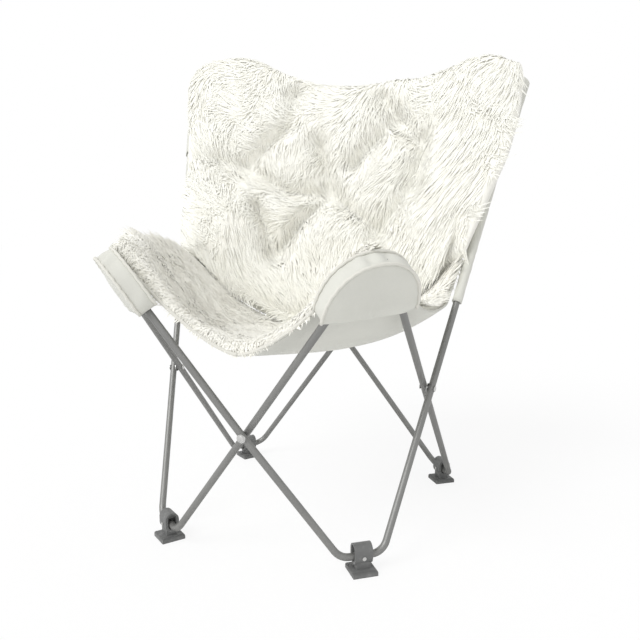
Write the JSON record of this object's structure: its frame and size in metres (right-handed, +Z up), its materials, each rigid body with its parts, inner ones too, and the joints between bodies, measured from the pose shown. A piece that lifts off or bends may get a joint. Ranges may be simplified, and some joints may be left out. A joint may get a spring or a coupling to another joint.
{
  "type": "folding butterfly chair",
  "caption": "Folding butterfly chair: crossed bent steel tubes in moulded feet, with a tufted fur-faced canvas sling hung from corner pockets.",
  "frame": {"origin": "on the floor, midway between the left and right sides, at the zero of the foot layout", "axes": "+Z up, the sitter faces -Y, +X to the right of someone looking along +Y at the front"},
  "size_m": [0.7789, 0.6052, 0.9028],
  "materials": {
    "tubes": "mid-grey powder coat with a fine hammered texture",
    "moulded": "grey moulded nylon, lightly textured",
    "pins": "zinc-plated rivets, washers and pins",
    "canvas": "off-white cotton canvas",
    "fur": "ivory faux fur, long on the back and short on the seat"
  },
  "bodies": {
    "foot_back_left": {"foot_back_left": "moulded", "foot_pin_back_left": "pins"},
    "foot_back_right": {"foot_back_right": "moulded", "foot_pin_back_right": "pins"},
    "foot_front_left": {"foot_front_left": "moulded", "foot_pin_front_left": "pins"},
    "foot_front_right": {"foot_front_right": "moulded", "foot_pin_front_right": "pins"},
    "back_left_across": {"tube_back_left_across": "tubes", "tip_pin_back_right": "pins"},
    "back_right_across": {"tube_back_right_across": "tubes", "tip_pin_back_left": "pins", "rivet_back": "pins", "washer_back": "pins"},
    "back_right_side": {"tube_back_right_side": "tubes", "rivet_right": "pins", "washer_right": "pins", "cap_front_right": "moulded", "pocket_front_right": "canvas"},
    "back_left_side": {"tube_back_left_side": "tubes", "rivet_left": "pins", "washer_left": "pins", "cap_front_left": "moulded", "pocket_front_left": "canvas"},
    "front_right_side": {"tube_front_right_side": "tubes", "cap_back_right": "moulded", "pocket_back_right": "canvas"},
    "front_left_side": {"tube_front_left_side": "tubes", "cap_back_left": "moulded", "pocket_back_left": "canvas"},
    "front_right_across": {"tube_front_right_across": "tubes", "rivet_front_outer": "pins", "washer_front": "pins", "tip_pin_front_left": "pins"},
    "front_left_across": {"tube_front_left_across": "tubes", "rivet_front_inner": "pins", "tip_pin_front_right": "pins"},
    "cover_back": {"back_canvas": "canvas", "back_pad": "fur"},
    "cover_seat_right": {"seat_canvas_right": "canvas", "seat_pad_right": "fur", "piping_right": "canvas"},
    "cover_seat_left": {"seat_canvas_left": "canvas", "seat_pad_left": "fur", "piping_left": "canvas"}
  },
  "joints": [
    {"name": "fold", "type": "hinge", "parent": "foot_back_left", "child": "back_left_across", "pos_m": [-0.22987, 0.2701, 0.028], "axis": [0.0236, -0.9986, -0.0463], "range_deg": [0, 26.52]},
    {"name": "back_cross", "type": "hinge", "parent": "back_left_across", "child": "back_right_across", "pos_m": [0, 0.28123, 0.31406], "axis": [0, 0.9992, 0.0395], "range_deg": [0, 53.04]},
    {"name": "back_right_foot", "type": "hinge", "parent": "back_right_across", "child": "foot_back_right", "pos_m": [0.22987, 0.2701, 0.028], "axis": [-0.0236, -0.9986, -0.0463], "range_deg": [0, 26.57]},
    {"name": "back_right_rod", "type": "hinge", "parent": "foot_back_right", "child": "back_right_side", "pos_m": [0.24098, 0.25468, 0.028], "axis": [-0.9988, -0.0486, 0.0088], "range_deg": [0, 29.98], "deforming": ["pocket_front_right"]},
    {"name": "right_cross", "type": "hinge", "parent": "back_right_side", "child": "front_right_side", "pos_m": [0.25218, -0.02068, 0.27611], "axis": [0.9816, -0.1547, -0.1117], "range_deg": [0, 49.31]},
    {"name": "front_right_foot", "type": "hinge", "parent": "front_right_side", "child": "foot_front_right", "pos_m": [0.18731, -0.17159, 0.028], "axis": [-0.8789, 0.4611, 0.1223], "range_deg": [0, 21.23]},
    {"name": "front_right_rod", "type": "hinge", "parent": "foot_front_right", "child": "front_right_across", "pos_m": [0.17198, -0.18281, 0.028], "axis": [-0.3268, 0.8909, 0.3155], "range_deg": [0, 31.45]},
    {"name": "back_left_rod", "type": "hinge", "parent": "foot_back_left", "child": "back_left_side", "pos_m": [-0.24098, 0.25468, 0.028], "axis": [-0.9988, 0.0486, -0.0088], "range_deg": [0, 29.98], "deforming": ["pocket_front_left"]},
    {"name": "left_cross", "type": "hinge", "parent": "back_left_side", "child": "front_left_side", "pos_m": [-0.25218, -0.02068, 0.27611], "axis": [0.9816, 0.1547, 0.1117], "range_deg": [0, 49.31]},
    {"name": "front_left_foot", "type": "hinge", "parent": "front_left_side", "child": "foot_front_left", "pos_m": [-0.18731, -0.17159, 0.028], "axis": [-0.8789, -0.4611, -0.1223], "range_deg": [0, 21.23]},
    {"name": "front_left_rod", "type": "hinge", "parent": "foot_front_left", "child": "front_left_across", "pos_m": [-0.17198, -0.18281, 0.028], "axis": [-0.3268, -0.8909, -0.3155], "range_deg": [0, 31.45]},
    {"name": "back_follow", "type": "slide", "parent": "foot_back_left", "child": "cover_back", "axis": [-0.6442, -0.1139, 0.7563], "range_m": [0, 0.2364], "deforming": ["back_canvas", "back_pad"]},
    {"name": "seat_right_fold", "type": "hinge", "parent": "cover_back", "child": "cover_seat_right", "pos_m": [0, 0.138, 0.345], "axis": [0, -1, 0], "range_deg": [0, 50.05], "deforming": ["seat_canvas_right", "seat_pad_right", "piping_right"]},
    {"name": "seat_left_fold", "type": "hinge", "parent": "cover_back", "child": "cover_seat_left", "pos_m": [0, 0.138, 0.345], "axis": [0, 1, 0], "range_deg": [0, 50.05], "deforming": ["seat_canvas_left", "seat_pad_left", "piping_left"]}
  ],
  "couplings": [
    {"joint": "back_cross", "follows": "fold", "ratio": 1.9985},
    {"joint": "back_right_foot", "follows": "fold", "ratio": 1},
    {"joint": "back_right_rod", "follows": "fold", "ratio": 1.1286},
    {"joint": "right_cross", "follows": "fold", "ratio": 1.8576},
    {"joint": "front_right_foot", "follows": "fold", "ratio": 0.79898},
    {"joint": "front_right_rod", "follows": "fold", "ratio": 1.1843},
    {"joint": "back_left_rod", "follows": "fold", "ratio": 1.1286},
    {"joint": "left_cross", "follows": "fold", "ratio": 1.8576},
    {"joint": "front_left_foot", "follows": "fold", "ratio": 0.79898},
    {"joint": "front_left_rod", "follows": "fold", "ratio": 1.1843},
    {"joint": "back_follow", "follows": "fold", "m_per_rad": 0.50871},
    {"joint": "seat_right_fold", "follows": "fold", "ratio": 1.8857},
    {"joint": "seat_left_fold", "follows": "fold", "ratio": 1.8857}
  ]
}
